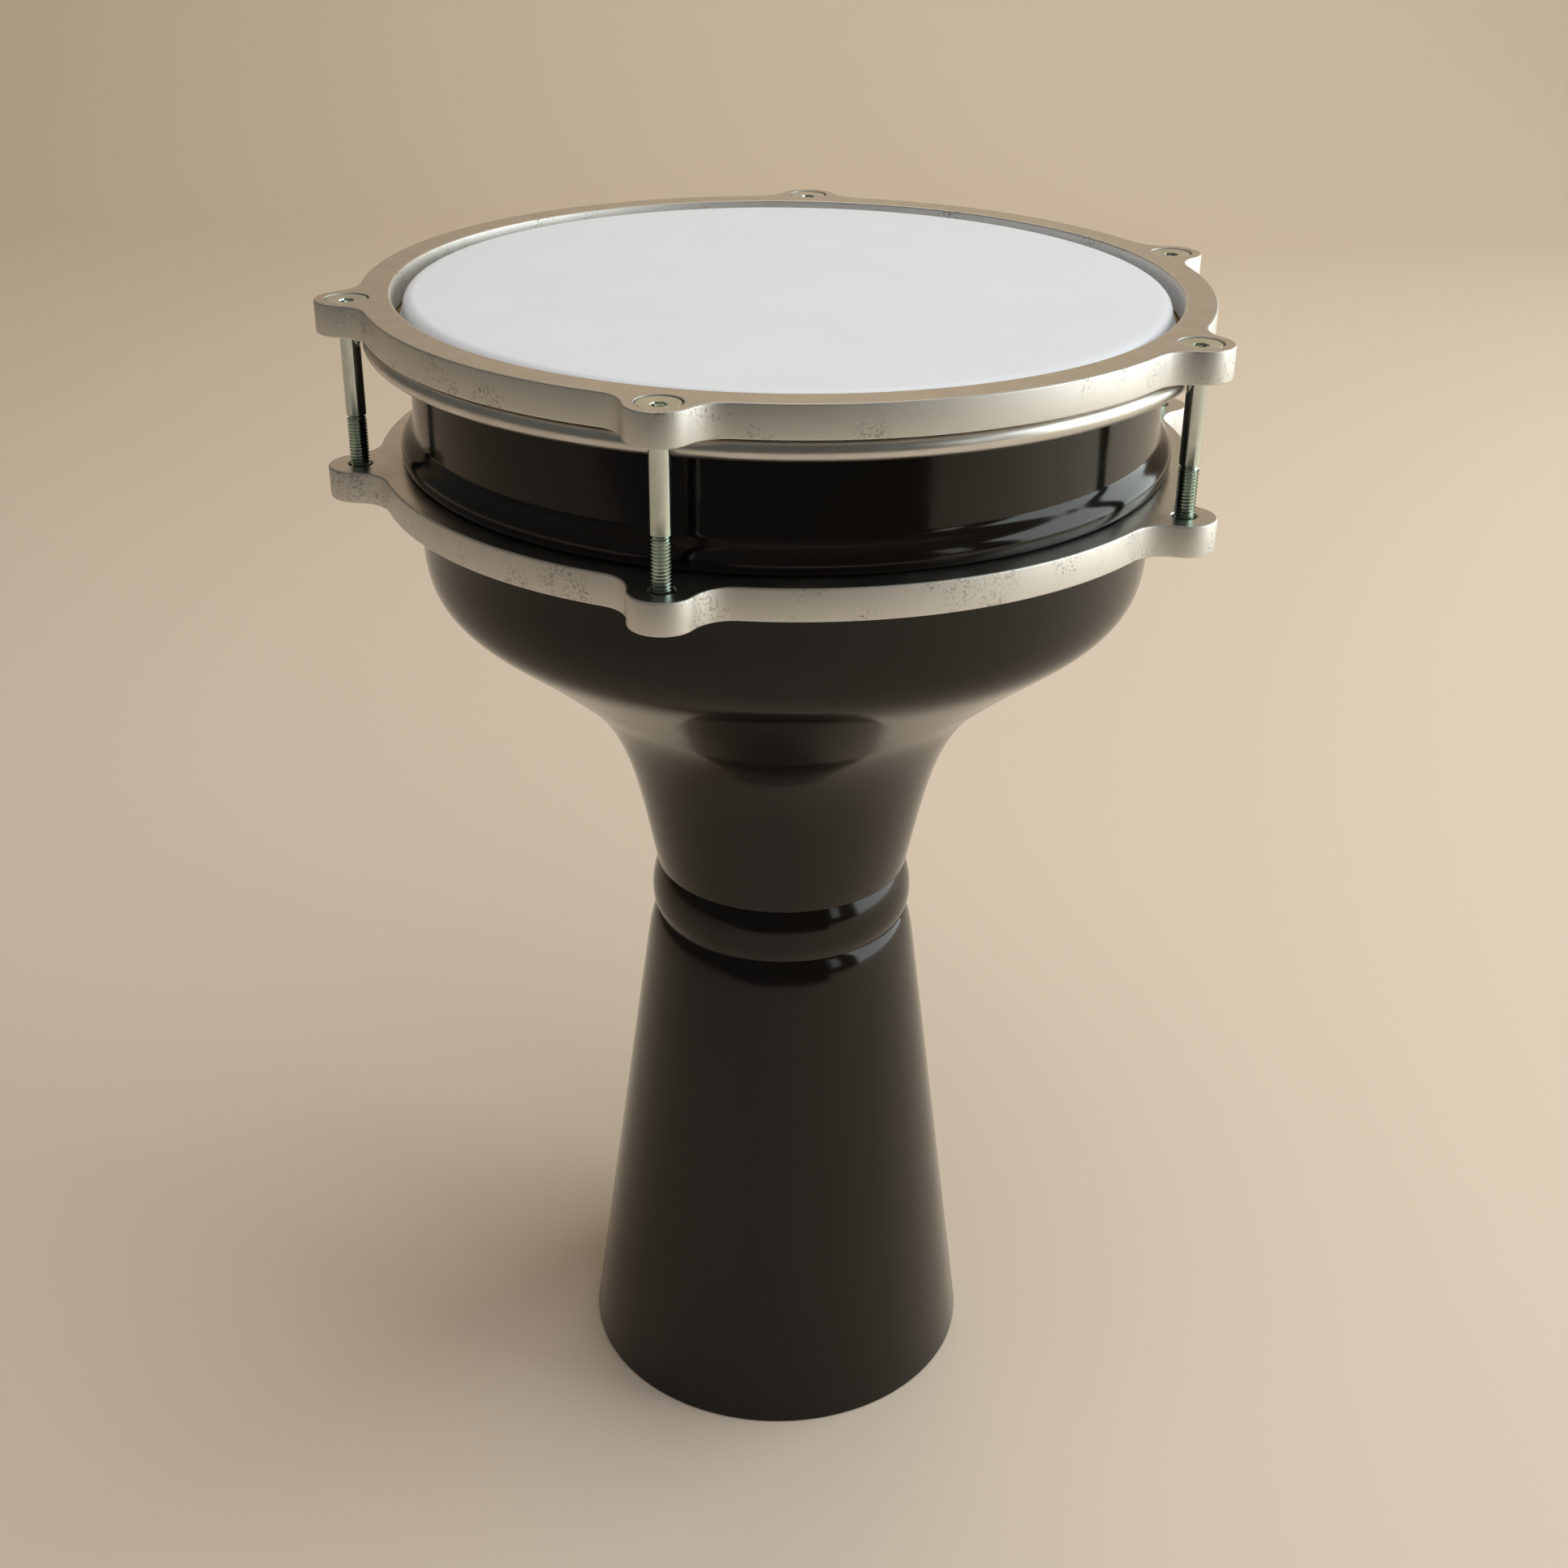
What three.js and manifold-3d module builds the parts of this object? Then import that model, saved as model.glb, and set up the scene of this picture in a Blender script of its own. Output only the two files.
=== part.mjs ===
// A goblet hand drum with a tension-screw head.
// Units are millimetres. The drum stands on its foot at z = 0, its axis is +Z, and -Y is the front.

import * as THREE from 'three';
import { mergeVertices } from 'three/addons/utils/BufferGeometryUtils.js';
import Module from 'manifold-3d';

const wasm = await Module();
wasm.setup();

// Driving dimensions

const gap = 0.3;
const cutThrough = 1;
const roundSegments = 48;
const smallSegments = 16;
const arcError = 0.12;

const foot = {
  rimOuter: 68.6,
  rimInner: 63.2,
  rimEdge: 1,
  baseRadius: 69.6,
  mouthEase: 0.4,
  shoulderRadius: 46.6,
  shoulderZ: 168.5,
  shoulderHandle: { inward: 0.8, upward: 6 },
  topRadius: 42.9,
  topZ: 179.8,
  topHandle: { outward: 1.9, downward: 1.5 },
  throatRadius: 41.9,
  throatZ: 163,
  wall: 5.5,
};

const spigot = { outer: 41, inner: 37.2, topZ: 213, chamfer: 0.8 };

const collar = {
  height: 18.9,
  bottomRadius: 43.6,
  bottomHandle: { outward: 1.2, upward: 2.7 },
  widestRadius: 45,
  widestHeight: 7.4,
  swellBelow: 3.3,
  swellAbove: 4.8,
  topHandle: { outward: 1.6, downward: 1.8 },
  topRadius: 42.3,
};

const bowl = {
  neckRadius: 43.2,
  neckLean: 0.205,
  neckHandle: 30.5,
  bendRadius: 71.8,
  bendZ: 269.7,
  bendSlopeDeg: 42.6,
  lowerHandle: 26.5,
  upperHandle: 50.4,
  wallRadius: 115.5,
  wallZ: 323.8,
  wallHandle: 26.7,
  bandRadius: 115.9,
  wall: 4.5,
  topZ: 395.7,
  edgeRound: 3.5,
  innerBevel: 1.5,
  socketEase: 1,
};

const ridge = { radius: 120, toe: 1.4, crownHeight: 3.4, swell: 3.6, fade: 2.4, height: 10.4 };

const hoop = { inner: 120, outer: 129.5, topZ: 397.5, thickness: 9.6, screwPlay: 0.4 };

const lowerRing = { inner: 117.3, outer: 127, topZ: 347, thickness: 9.6 };

const lugs = {
  anglesDeg: [-104, -30, 20, 87, 192],
  radius: 132.6,
  earRadius: 9.6,
  filletRadius: 12,
};

const screw = {
  headRadius: 6.1,
  headLand: 0.6,
  headDrop: 0.3,
  shankRadius: 3,
  threadRadius: 2.85,
  threadTopZ: 362,
  tipZ: 337.6,
  chamfer: 0.8,
  socketAcrossFlats: 4,
  socketDepth: 2.6,
};

const insert = { outer: 4.6, inner: 3.15, length: 7.8, mouthRadius: 3.6 };

const fleshHoop = { inner: 116.5, outer: 129.2, height: 6.1, lip: 0.8, floor: 1.2, grooveOuter: 124 };

const resin = { sunk: 0.4, underSkirt: 0.8 };

const film = {
  thickness: 0.5,
  topZ: 396.5,
  radius: 116.7,
  shoulder: 3.9,
  skirtRadius: 119.2,
  skirtTopZ: 390,
  skirtEndZ: 386.2,
};

// Worked out from the driving dimensions

const collarBottomZ = foot.topZ + gap;
const bowlBottomZ = foot.topZ + collar.height;
const collarTopZ = bowlBottomZ - gap;
const hoopBottomZ = hoop.topZ - hoop.thickness;
const ringBottomZ = lowerRing.topZ - lowerRing.thickness;
const fleshTopZ = hoopBottomZ - gap;
const fleshBottomZ = fleshTopZ - fleshHoop.height;
const lugPlaces = lugs.anglesDeg.map((degrees) => {
  const angle = THREE.MathUtils.degToRad(degrees);
  return { angle, x: lugs.radius * Math.cos(angle), y: lugs.radius * Math.sin(angle) };
});

// Solids

function toSolid(geometry) {
  const plain = new THREE.BufferGeometry();
  plain.setAttribute('position', geometry.getAttribute('position').clone());
  if (geometry.index) plain.setIndex(geometry.index.clone());
  const merged = mergeVertices(plain, 1e-4);
  const corners = merged.index.array;
  const kept = [];
  for (let i = 0; i < corners.length; i += 3) {
    const [a, b, c] = [corners[i], corners[i + 1], corners[i + 2]];
    if (a !== b && b !== c && c !== a) kept.push(a, b, c);
  }
  return new wasm.Manifold(new wasm.Mesh({
    numProp: 3,
    vertProperties: new Float32Array(merged.getAttribute('position').array),
    triVerts: new Uint32Array(kept),
  }));
}

function toGeometry(solid) {
  const mesh = solid.getMesh();
  const geometry = new THREE.BufferGeometry();
  geometry.setAttribute('position', new THREE.BufferAttribute(mesh.vertProperties, 3));
  geometry.setIndex(new THREE.BufferAttribute(mesh.triVerts, 1));
  geometry.computeVertexNormals();
  return geometry;
}

// Turns a profile of (radius, z) points about the drum's axis.
function turned(points, segments = roundSegments) {
  return toSolid(new THREE.LatheGeometry(points, segments).rotateX(Math.PI / 2));
}

function turnedPath(path, divisions = 5) {
  const points = path.getPoints(divisions);
  if (points[0].x > 0) points.push(points[0].clone());
  return turned(points);
}

function turnedAt(place, outline) {
  const points = outline.map(([radius, z]) => new THREE.Vector2(radius, z));
  const geometry = new THREE.LatheGeometry(points, smallSegments).rotateX(Math.PI / 2);
  return toSolid(geometry.translate(place.x, place.y, 0));
}

function arcPoints(centre, radius, start, end) {
  const step = 2 * Math.acos(1 - arcError / radius);
  const count = Math.ceil(Math.abs(end - start) / step);
  return Array.from({ length: count + 1 }, (_, i) => {
    const angle = start + (end - start) * i / count;
    return new THREE.Vector2(centre.x + radius * Math.cos(angle), centre.y + radius * Math.sin(angle));
  });
}

// One ear of a ring's outline: a fillet off the ring, the round end, and the fillet back.
function earOutline(ringRadius, place) {
  const { radius, earRadius, filletRadius } = lugs;
  const reach = ringRadius + filletRadius;
  const span = earRadius + filletRadius;
  const swing = Math.acos((reach ** 2 + radius ** 2 - span ** 2) / (2 * reach * radius));
  const lean = Math.acos((span ** 2 + radius ** 2 - reach ** 2) / (2 * span * radius));
  const half = Math.PI - lean;
  const filletArc = (side, start, end) => arcPoints({
    x: reach * Math.cos(place.angle + side * swing),
    y: reach * Math.sin(place.angle + side * swing),
  }, filletRadius, place.angle + start, place.angle + end);
  return [
    ...filletArc(-1, Math.PI - swing, Math.PI - half),
    ...arcPoints(place, earRadius, place.angle - half, place.angle + half).slice(1),
    ...filletArc(1, half - Math.PI, swing - Math.PI).slice(1),
  ];
}

function earedRing(ring) {
  const centre = { x: 0, y: 0 };
  const ears = lugPlaces.map((place) => earOutline(ring.outer, place));
  const outline = ears.flatMap((ear, i) => {
    const next = ears[(i + 1) % ears.length][0];
    const last = ear.at(-1);
    const start = Math.atan2(last.y, last.x);
    const turn = (Math.atan2(next.y, next.x) - start + 2 * Math.PI) % (2 * Math.PI);
    return [...ear, ...arcPoints(centre, ring.outer, start, start + turn).slice(1, -1)];
  });
  const shape = new THREE.Shape(outline);
  shape.holes.push(new THREE.Path(arcPoints(centre, ring.inner, 2 * Math.PI, 0).slice(0, -1)));
  const geometry = new THREE.ExtrudeGeometry(shape, { depth: ring.thickness, bevelEnabled: false });
  return toSolid(geometry.translate(0, 0, ring.topZ - ring.thickness));
}

// Sub-parts

function makeFoot() {
  const path = new THREE.Path();
  path.moveTo(foot.rimInner, 0);
  path.lineTo(foot.rimOuter, 0);
  path.quadraticCurveTo(foot.baseRadius, 0, foot.baseRadius, foot.rimEdge);
  path.lineTo(foot.shoulderRadius, foot.shoulderZ);
  path.bezierCurveTo(
    foot.shoulderRadius - foot.shoulderHandle.inward, foot.shoulderZ + foot.shoulderHandle.upward,
    foot.topRadius + foot.topHandle.outward, foot.topZ - foot.topHandle.downward,
    foot.topRadius, foot.topZ,
  );
  path.lineTo(spigot.outer, foot.topZ);
  path.lineTo(spigot.outer, spigot.topZ - spigot.chamfer);
  path.lineTo(spigot.outer - spigot.chamfer, spigot.topZ);
  path.lineTo(spigot.inner, spigot.topZ);
  path.lineTo(spigot.inner, foot.topZ - foot.wall);
  path.lineTo(foot.throatRadius, foot.throatZ);
  path.lineTo(foot.rimInner - foot.mouthEase, foot.rimEdge);
  return turnedPath(path);
}

// The collar is widest a little below its middle and rolls inwards under the bowl's lip.
function makeCollar() {
  const { bottomRadius, bottomHandle, widestRadius, swellBelow, swellAbove, topHandle, topRadius } = collar;
  const widestZ = collarBottomZ + collar.widestHeight;
  const path = new THREE.Path();
  path.moveTo(spigot.outer + gap, collarBottomZ);
  path.lineTo(bottomRadius, collarBottomZ);
  path.bezierCurveTo(
    bottomRadius + bottomHandle.outward, collarBottomZ + bottomHandle.upward,
    widestRadius, widestZ - swellBelow,
    widestRadius, widestZ,
  );
  path.bezierCurveTo(
    widestRadius, widestZ + swellAbove,
    topRadius + topHandle.outward, collarTopZ - topHandle.downward,
    topRadius, collarTopZ,
  );
  path.lineTo(spigot.outer + gap, collarTopZ);
  return turnedPath(path);
}

// The bowl flares from the neck, turns up into a straight wall, and ends in a rounded bearing edge.
// Two cubic curves meet at the bend. The inner surface repeats them one wall thickness further in.
function makeBowl() {
  const seatZ = lowerRing.topZ + gap;
  const socketRadius = spigot.outer + gap;
  const socketTopZ = spigot.topZ + bowl.socketEase;
  const innerRadius = bowl.bandRadius - bowl.wall;
  const slope = THREE.MathUtils.degToRad(bowl.bendSlopeDeg);
  const along = new THREE.Vector2(Math.cos(slope), Math.sin(slope));
  const outerBend = new THREE.Vector2(bowl.bendRadius, bowl.bendZ);
  const innerBend = outerBend.clone().add(new THREE.Vector2(-along.y, along.x).multiplyScalar(bowl.wall));
  const handle = (bend, length) => bend.clone().addScaledVector(along, length).toArray();

  const path = new THREE.Path();
  path.moveTo(bowl.neckRadius, bowlBottomZ);
  path.bezierCurveTo(
    bowl.neckRadius + bowl.neckHandle * bowl.neckLean, bowlBottomZ + bowl.neckHandle,
    ...handle(outerBend, -bowl.lowerHandle),
    ...outerBend.toArray(),
  );
  path.bezierCurveTo(
    ...handle(outerBend, bowl.upperHandle),
    bowl.wallRadius, bowl.wallZ - bowl.wallHandle,
    bowl.wallRadius, bowl.wallZ,
  );
  path.lineTo(bowl.bandRadius, seatZ);
  path.lineTo(ridge.radius - ridge.toe, seatZ);
  path.quadraticCurveTo(ridge.radius, seatZ, ridge.radius, seatZ + ridge.crownHeight);
  path.bezierCurveTo(
    ridge.radius, seatZ + ridge.crownHeight + ridge.swell,
    bowl.bandRadius, seatZ + ridge.height - ridge.fade,
    bowl.bandRadius, seatZ + ridge.height,
  );
  path.lineTo(bowl.bandRadius, bowl.topZ - bowl.edgeRound);
  path.quadraticCurveTo(bowl.bandRadius, bowl.topZ, bowl.bandRadius - bowl.edgeRound, bowl.topZ);
  path.lineTo(innerRadius, bowl.topZ - bowl.innerBevel);
  path.lineTo(innerRadius, bowl.wallZ);
  path.bezierCurveTo(
    innerRadius, bowl.wallZ - bowl.wallHandle,
    ...handle(innerBend, bowl.upperHandle - bowl.wall),
    ...innerBend.toArray(),
  );
  path.bezierCurveTo(
    ...handle(innerBend, -bowl.lowerHandle),
    socketRadius + bowl.wall, socketTopZ + bowl.neckHandle / 2,
    socketRadius, socketTopZ,
  );
  path.lineTo(socketRadius, bowlBottomZ);
  return turnedPath(path, 6);
}

function makeFilm() {
  const { thickness, topZ, radius, shoulder, skirtRadius, skirtTopZ, skirtEndZ } = film;
  const innerRadius = radius - thickness;
  const underZ = topZ - thickness;
  const path = new THREE.Path();
  path.moveTo(0, underZ);
  path.lineTo(radius - shoulder, underZ);
  path.quadraticCurveTo(innerRadius, underZ, innerRadius, topZ - shoulder);
  path.lineTo(skirtRadius - thickness, skirtTopZ - thickness / 2);
  path.lineTo(skirtRadius - thickness, skirtEndZ);
  path.lineTo(skirtRadius, skirtEndZ);
  path.lineTo(skirtRadius, skirtTopZ);
  path.lineTo(radius, topZ - shoulder);
  path.quadraticCurveTo(radius, topZ, radius - shoulder, topZ);
  path.lineTo(0, topZ);
  return turnedPath(path, 4);
}

function makeFleshHoop() {
  const { inner, outer, height, lip, floor, grooveOuter } = fleshHoop;
  const round = height / 2;
  const path = new THREE.Path();
  path.moveTo(inner, fleshBottomZ);
  path.lineTo(outer - round, fleshBottomZ);
  path.absarc(outer - round, fleshBottomZ + round, round, -Math.PI / 2, Math.PI / 2, false);
  path.lineTo(grooveOuter, fleshTopZ);
  path.lineTo(grooveOuter, fleshBottomZ + floor);
  path.lineTo(inner + lip, fleshBottomZ + floor);
  path.lineTo(inner + lip, fleshTopZ);
  path.lineTo(inner, fleshTopZ);
  return turnedPath(path, 4);
}

// The cast resin fills the flesh hoop's groove and grips the film's skirt.
function makeResin() {
  const inner = fleshHoop.inner + fleshHoop.lip + gap;
  const outer = fleshHoop.grooveOuter - gap;
  const bottomZ = fleshBottomZ + fleshHoop.floor + gap;
  const topZ = fleshTopZ - resin.sunk;
  const slotInner = film.skirtRadius - film.thickness - gap;
  const slotOuter = film.skirtRadius + gap;
  const slotZ = bottomZ + resin.underSkirt;
  const path = new THREE.Path();
  path.moveTo(inner, bottomZ);
  path.lineTo(outer, bottomZ);
  path.lineTo(outer, topZ);
  path.lineTo(slotOuter, topZ);
  path.lineTo(slotOuter, slotZ);
  path.lineTo(slotInner, slotZ);
  path.lineTo(slotInner, topZ);
  path.lineTo(inner, topZ);
  return turnedPath(path);
}

function makeTopHoop() {
  const sinkRadius = screw.headRadius + hoop.screwPlay;
  const boreRadius = screw.shankRadius + hoop.screwPlay;
  const landZ = hoop.topZ - screw.headDrop - screw.headLand;
  let ring = earedRing(hoop);
  for (const place of lugPlaces) {
    ring = ring.subtract(turnedAt(place, [
      [0, hoopBottomZ - cutThrough],
      [boreRadius, hoopBottomZ - cutThrough],
      [boreRadius, landZ - (sinkRadius - boreRadius)],
      [sinkRadius, landZ],
      [sinkRadius, hoop.topZ + cutThrough],
      [0, hoop.topZ + cutThrough],
    ]));
  }
  return ring;
}

function makeLowerRing() {
  const seatZ = ringBottomZ + insert.length + gap;
  let ring = earedRing(lowerRing);
  for (const place of lugPlaces) {
    ring = ring.subtract(turnedAt(place, [
      [0, ringBottomZ - cutThrough],
      [insert.outer + gap, ringBottomZ - cutThrough],
      [insert.outer + gap, seatZ],
      [insert.mouthRadius, seatZ],
      [insert.mouthRadius, lowerRing.topZ + cutThrough],
      [0, lowerRing.topZ + cutThrough],
    ]));
  }
  return ring;
}

function makeInsert(place) {
  return turnedAt(place, [
    [insert.inner, ringBottomZ],
    [insert.outer, ringBottomZ],
    [insert.outer, ringBottomZ + insert.length],
    [insert.inner, ringBottomZ + insert.length],
    [insert.inner, ringBottomZ],
  ]);
}

function makeScrew(place) {
  const topZ = hoop.topZ - screw.headDrop;
  const landZ = topZ - screw.headLand;
  const body = turnedAt(place, [
    [0, screw.tipZ],
    [screw.threadRadius - screw.chamfer, screw.tipZ],
    [screw.threadRadius, screw.tipZ + screw.chamfer],
    [screw.threadRadius, screw.threadTopZ],
    [screw.shankRadius, screw.threadTopZ + screw.chamfer],
    [screw.shankRadius, landZ - (screw.headRadius - screw.shankRadius)],
    [screw.headRadius, landZ],
    [screw.headRadius, topZ],
    [0, topZ],
  ]);
  const cornerRadius = screw.socketAcrossFlats / Math.sqrt(3);
  const hexagon = Array.from({ length: 6 }, (_, i) => {
    const angle = i * Math.PI / 3;
    return new THREE.Vector2(cornerRadius * Math.cos(angle), cornerRadius * Math.sin(angle));
  });
  const socket = new THREE.ExtrudeGeometry(new THREE.Shape(hexagon), {
    depth: screw.socketDepth + cutThrough,
    bevelEnabled: false,
  });
  return body.subtract(toSolid(socket.translate(place.x, place.y, topZ - screw.socketDepth)));
}

// Materials

const blackPaint = { color: '#1d1916', roughness: 0.28, metalness: 0.1 };
const castAluminium = { color: '#b3aa9d', roughness: 0.42, metalness: 0.9 };
const polishedAluminium = { color: '#c9c4bb', roughness: 0.22, metalness: 1 };
const zincSteel = { color: '#a9ada0', roughness: 0.3, metalness: 1 };
const toolSteel = { color: '#8c8f8c', roughness: 0.45, metalness: 1 };
const whiteFilm = { color: '#dcdcda', roughness: 0.4, metalness: 0 };
const amberResin = { color: '#8f7b54', roughness: 0.5, metalness: 0 };

// Assembly

const drum = new THREE.Group();
drum.name = 'goblet_drum';

function add(name, solid, look) {
  const mesh = new THREE.Mesh(toGeometry(solid), new THREE.MeshStandardMaterial(look));
  mesh.name = name;
  drum.add(mesh);
}

add('foot_shell', makeFoot(), blackPaint);
add('neck_collar', makeCollar(), blackPaint);
add('bowl_shell', makeBowl(), blackPaint);
add('lower_ring', makeLowerRing(), castAluminium);
add('top_hoop', makeTopHoop(), castAluminium);
add('flesh_hoop', makeFleshHoop(), polishedAluminium);
add('flesh_resin', makeResin(), amberResin);
add('head_film', makeFilm(), whiteFilm);
lugPlaces.forEach((place, i) => {
  add(`tension_screw_${i + 1}`, makeScrew(place), zincSteel);
  add(`thread_insert_${i + 1}`, makeInsert(place), toolSteel);
});

export default drum;
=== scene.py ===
import math

import bmesh
import bpy
from mathutils import Matrix, Vector


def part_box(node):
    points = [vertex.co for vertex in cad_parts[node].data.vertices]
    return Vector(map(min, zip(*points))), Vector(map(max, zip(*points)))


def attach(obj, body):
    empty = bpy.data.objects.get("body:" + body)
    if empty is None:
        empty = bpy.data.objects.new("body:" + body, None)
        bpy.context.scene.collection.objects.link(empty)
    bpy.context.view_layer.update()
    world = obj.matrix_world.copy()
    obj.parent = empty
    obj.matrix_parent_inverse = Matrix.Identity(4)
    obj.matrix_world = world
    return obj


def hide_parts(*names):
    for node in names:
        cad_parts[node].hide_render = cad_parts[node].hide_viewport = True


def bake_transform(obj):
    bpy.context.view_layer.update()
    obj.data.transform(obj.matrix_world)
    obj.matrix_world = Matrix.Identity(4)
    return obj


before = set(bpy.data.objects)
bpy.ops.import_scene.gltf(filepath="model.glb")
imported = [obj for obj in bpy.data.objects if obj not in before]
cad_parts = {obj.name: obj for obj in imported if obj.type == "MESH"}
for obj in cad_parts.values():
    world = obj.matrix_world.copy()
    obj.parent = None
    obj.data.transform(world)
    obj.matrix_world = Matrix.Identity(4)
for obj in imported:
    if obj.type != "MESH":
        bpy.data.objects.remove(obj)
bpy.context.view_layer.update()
print("frame loaded:", len(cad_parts), "nodes")

up = Vector((0, 0, 1))


def mm(value):
    return value / 1000


def inMm(node):
    low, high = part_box(node)
    return [v * 1000 for v in low], [v * 1000 for v in high]


# small helpers for outlines, in millimetres

def curvePoints(a, b, c, d, count):
    points = []
    for i in range(count + 1):
        t = i / count
        weights = ((1 - t) ** 3, 3 * (1 - t) ** 2 * t, 3 * (1 - t) * t * t, t ** 3)
        points.append(tuple(sum(w * p[k] for w, p in zip(weights, (a, b, c, d))) for k in (0, 1)))
    return points


def roundCorner(before, corner, after, radius, count=4):
    corner = Vector(corner)
    start = corner + (Vector(before) - corner).normalized() * radius
    end = corner + (Vector(after) - corner).normalized() * radius
    return [tuple(start * (1 - t) ** 2 + corner * 2 * t * (1 - t) + end * t * t)
            for t in (i / count for i in range(count + 1))]


def roundedOutline(corners):
    # each corner is (radius from the axis, height, rounding); a rounding of 0 keeps the point
    points = []
    for i, (r, z, rounding) in enumerate(corners):
        if rounding == 0:
            points.append((r, z))
        else:
            before, after = corners[i - 1], corners[(i + 1) % len(corners)]
            points += roundCorner(before[:2], (r, z), after[:2], rounding)
    return points


def sharp(points):
    return [(r, z, 0) for r, z in points]


# small helpers for meshes

def finishPiece(name, bm, sharpAngle=35):
    bmesh.ops.recalc_face_normals(bm, faces=bm.faces)
    mesh = bpy.data.meshes.new(name)
    bm.to_mesh(mesh)
    bm.free()
    mesh.shade_smooth()
    mesh.set_sharp_from_angle(angle=math.radians(sharpAngle))
    piece = bpy.data.objects.new(name, mesh)
    bpy.context.scene.collection.objects.link(piece)
    return piece


def turnedMesh(outline, steps, closed=True):
    bm = bmesh.new()
    verts = [bm.verts.new((mm(r), 0, mm(z))) for r, z in outline]
    edges = [bm.edges.new(pair) for pair in zip(verts, verts[1:])]
    if closed:
        edges.append(bm.edges.new((verts[-1], verts[0])))
    bmesh.ops.spin(bm, geom=verts + edges, cent=(0, 0, 0), axis=up, angle=2 * math.pi, steps=steps,
                   use_merge=True)
    bmesh.ops.remove_doubles(bm, verts=bm.verts, dist=mm(0.001))
    return bm


def addLoop(bm, points, z):
    verts = [bm.verts.new((mm(x), mm(y), mm(z))) for x, y in points]
    return [bm.edges.new((verts[i - 1], verts[i])) for i in range(len(verts))]


def joinLoops(bm, loops):
    for lower, upper in zip(loops, loops[1:]):
        bmesh.ops.bridge_loops(bm, edges=lower + upper)


def circlePoints(centre, radius, count):
    return [(centre[0] + radius * math.cos(2 * math.pi * i / count),
             centre[1] + radius * math.sin(2 * math.pi * i / count)) for i in range(count)]


def show(piece, body, slot, materials, *nodes):
    for material in materials:
        piece.data.materials.append(material)
    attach(piece, body)
    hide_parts(*nodes)
    return piece


# materials

def colour(hexValue):
    channels = [int(hexValue[i:i + 2], 16) / 255 for i in (1, 3, 5)]
    return [c / 12.92 if c <= 0.04045 else ((c + 0.055) / 1.055) ** 2.4 for c in channels] + [1]


def addNode(tree, kind, inputs, **settings):
    node = tree.nodes.new(kind)
    for name, value in settings.items():
        setattr(node, name, value)
    for name, value in inputs.items():
        if isinstance(value, bpy.types.NodeSocket):
            tree.links.new(value, node.inputs[name])
        else:
            node.inputs[name].default_value = value
    return node


def startMaterial(name, **shaderValues):
    material = bpy.data.materials.new(name)
    material.use_nodes = True
    tree = material.node_tree
    shader = tree.nodes["Principled BSDF"]
    for socket, value in shaderValues.items():
        shader.inputs[socket.replace("_", " ")].default_value = value
    place = tree.nodes.new("ShaderNodeTexCoord").outputs["Object"]
    return material, tree, shader, place


def perMm(size):
    # the texture scale that makes a pattern's grains this many millimetres wide
    return 1000 / size


# Powder coat, black gloss, baked over a cast shell: deep black with warm brown in the light,
# soft-edged reflections, and a faint orange peel.
def makeGlossBlackCoat():
    look = {"deep": "#090704", "warm": "#100a05", "peel": 2.2, "dust": 14, "shine": (0.1, 0.15)}
    material, tree, shader, place = startMaterial("glossBlackPowderCoat", Metallic=0, IOR=1.42)
    cloud = addNode(tree, "ShaderNodeTexNoise", {"Vector": place, "Scale": perMm(look["dust"]), "Detail": 5})
    tint = addNode(tree, "ShaderNodeMix", {"Factor": cloud.outputs["Fac"]}, data_type="RGBA")
    tint.inputs["A"].default_value = colour(look["deep"])
    tint.inputs["B"].default_value = colour(look["warm"])
    tree.links.new(tint.outputs["Result"], shader.inputs["Base Color"])
    shine = addNode(tree, "ShaderNodeMapRange", {
        "Value": cloud.outputs["Fac"], "From Min": 0.3, "From Max": 0.7,
        "To Min": look["shine"][0], "To Max": look["shine"][1]})
    tree.links.new(shine.outputs["Result"], shader.inputs["Roughness"])
    peel = addNode(tree, "ShaderNodeTexNoise", {"Vector": place, "Scale": perMm(look["peel"]), "Detail": 2})
    bump = addNode(tree, "ShaderNodeBump", {
        "Height": peel.outputs["Fac"], "Strength": 0.12, "Distance": mm(0.05)})
    tree.links.new(bump.outputs["Normal"], shader.inputs["Normal"])
    return material


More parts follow.
